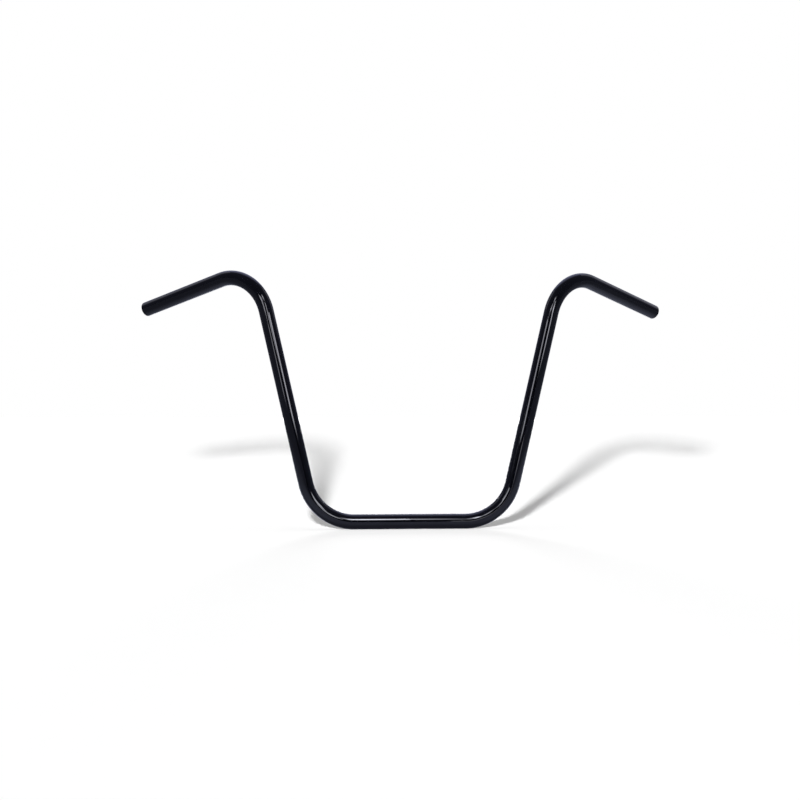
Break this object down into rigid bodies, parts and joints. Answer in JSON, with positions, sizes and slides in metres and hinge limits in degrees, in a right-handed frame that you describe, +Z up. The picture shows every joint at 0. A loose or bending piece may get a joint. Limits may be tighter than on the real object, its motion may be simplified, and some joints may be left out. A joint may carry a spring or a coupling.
{
  "type": "ape hanger handlebar",
  "caption": "Tall motorbike handlebar bent from one round steel tube: flat clamp section, leaning uprights and swept-back grip ends with open bores, painted gloss black.",
  "frame": {"origin": "middle of the clamp section, on the tube's axis", "axes": "+X along the clamp section towards the rider's left, +Y back towards the rider, +Z up in the plane of the two uprights"},
  "size_m": [0.8238, 0.1461, 0.3868],
  "materials": {
    "gloss_black_paint": "gloss black powder coat on steel tube"
  },
  "bodies": {
    "root": {"handlebar_tube": "gloss_black_paint"}
  },
  "joints": []
}
